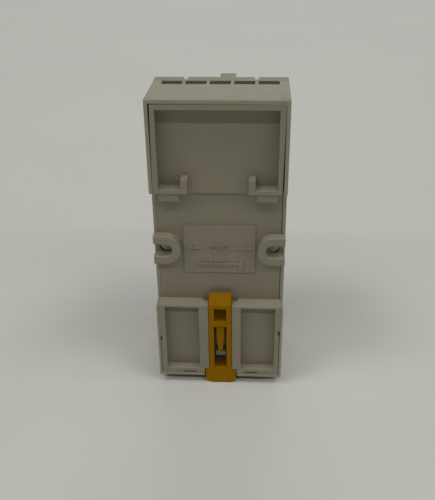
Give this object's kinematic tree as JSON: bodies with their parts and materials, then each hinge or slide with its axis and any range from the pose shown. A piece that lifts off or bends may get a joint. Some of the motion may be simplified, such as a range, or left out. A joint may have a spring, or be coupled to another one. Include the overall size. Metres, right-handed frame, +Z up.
{
  "type": "smart electric meter",
  "caption": "Narrow rail-mounted electricity meter with a stepped case, hinged terminal covers, display and keys in front, and a sprung rail clip and screw ears behind.",
  "frame": {"origin": "on the table under the middle of the box round the whole meter, level with the clip tab and the front of the case", "axes": "+Z up along the body, +Y towards the rail or panel, -Y towards the person reading the display"},
  "size_m": [0.0406, 0.051, 0.0971],
  "materials": {
    "case_plastic": "fine spark-eroded texture",
    "base_plastic": "fine spark-eroded texture",
    "cover_plastic": "smooth, slightly yellower than the case",
    "clip_plastic": "smooth glass-filled nylon",
    "panel_plastic": "satin",
    "block_plastic": "dull",
    "button_plastic": "satin",
    "clear_plastic": "clear polished acrylic",
    "infrared_plastic": "dark red, polished",
    "lcd_glass": "grey-green liquid crystal cell",
    "backlight_plastic": "opal",
    "elastomer": "layered conductive rubber",
    "circuit_board": "green solder resist",
    "chip_plastic": "moulded epoxy",
    "component_film": "dipped resin",
    "ring_core": "taped ring core",
    "varistor_coat": "dipped resin",
    "capacitor_sleeve": "shrink sleeve",
    "relay_case": "moulded case",
    "ferrite": "ferrite and tape",
    "plated_steel": "zinc plated",
    "tinned_copper": "tin-plated copper",
    "copper_alloy": "copper-manganese strip",
    "nickel_plate": "nickel plated",
    "lens_plastic": "moulded clear lens"
  },
  "bodies": {
    "case": {"antenna": "tinned_copper", "backup_battery": "nickel_plate", "battery_clip": "nickel_plate", "board_link_header": "chip_plastic", "board_link_socket": "chip_plastic", "button_switches": "chip_plastic", "controller_chip": "chip_plastic", "current_shunt": "copper_alloy", "current_transformer": "ring_core", "display_board": "circuit_board", "display_board_screws": "plated_steel", "display_window": "clear_plastic", "film_capacitor": "component_film", "front_panel": "panel_plastic", "housing": "case_plastic", "indicator_leds": "lens_plastic", "infrared_leds": "infrared_plastic", "infrared_window": "infrared_plastic", "latching_relay": "relay_case", "lcd_backlight": "backlight_plastic", "lcd_contact_strip": "elastomer", "lcd_panel": "lcd_glass", "light_pipes": "lens_plastic", "live_in_busbar": "tinned_copper", "live_out_busbar": "tinned_copper", "lower_terminal_block": "block_plastic", "lower_terminal_cages": "plated_steel", "lower_terminal_screws": "plated_steel", "main_board": "circuit_board", "main_board_screws": "plated_steel", "metering_chip": "chip_plastic", "neutral_in_busbar": "tinned_copper", "neutral_out_busbar": "tinned_copper", "radio_module": "nickel_plate", "rear_base": "base_plastic", "signal_couplers": "chip_plastic", "supply_capacitor": "capacitor_sleeve", "supply_transformer": "ferrite", "upper_clamp_plates": "plated_steel", "upper_contact_tags": "tinned_copper", "upper_terminal_block": "block_plastic", "upper_terminal_screws": "plated_steel", "varistor": "varistor_coat"},
    "clip": {"din_clip": "clip_plastic"},
    "upper_cover": {"upper_terminal_cover": "cover_plastic"},
    "lower_cover": {"lower_terminal_cover": "cover_plastic"},
    "scroll_key": {"scroll_button": "button_plastic"},
    "set_key": {"set_button": "button_plastic"}
  },
  "joints": [
    {"name": "clip_pull", "type": "slide", "parent": "case", "child": "clip", "axis": [0, 0, -1], "range_m": [0, 0.003], "stiffness_N_per_m": 2000, "springref_m": -0.001},
    {"name": "upper_cover_hinge", "type": "hinge", "parent": "case", "child": "upper_cover", "pos_m": [0, 0.0022, 0.0792], "axis": [1, 0, 0], "range_deg": [0, 79]},
    {"name": "lower_cover_hinge", "type": "hinge", "parent": "case", "child": "lower_cover", "pos_m": [0, -0.0111, 0.0266], "axis": [-1, 0, 0], "range_deg": [0, 90]},
    {"name": "scroll_press", "type": "slide", "parent": "case", "child": "scroll_key", "axis": [0, 1, 0], "range_m": [0, 0.0008], "stiffness_N_per_m": 1500, "springref_m": -0.0003},
    {"name": "set_press", "type": "slide", "parent": "case", "child": "set_key", "axis": [0, 1, 0], "range_m": [0, 0.0008], "stiffness_N_per_m": 1500, "springref_m": -0.0003}
  ]
}
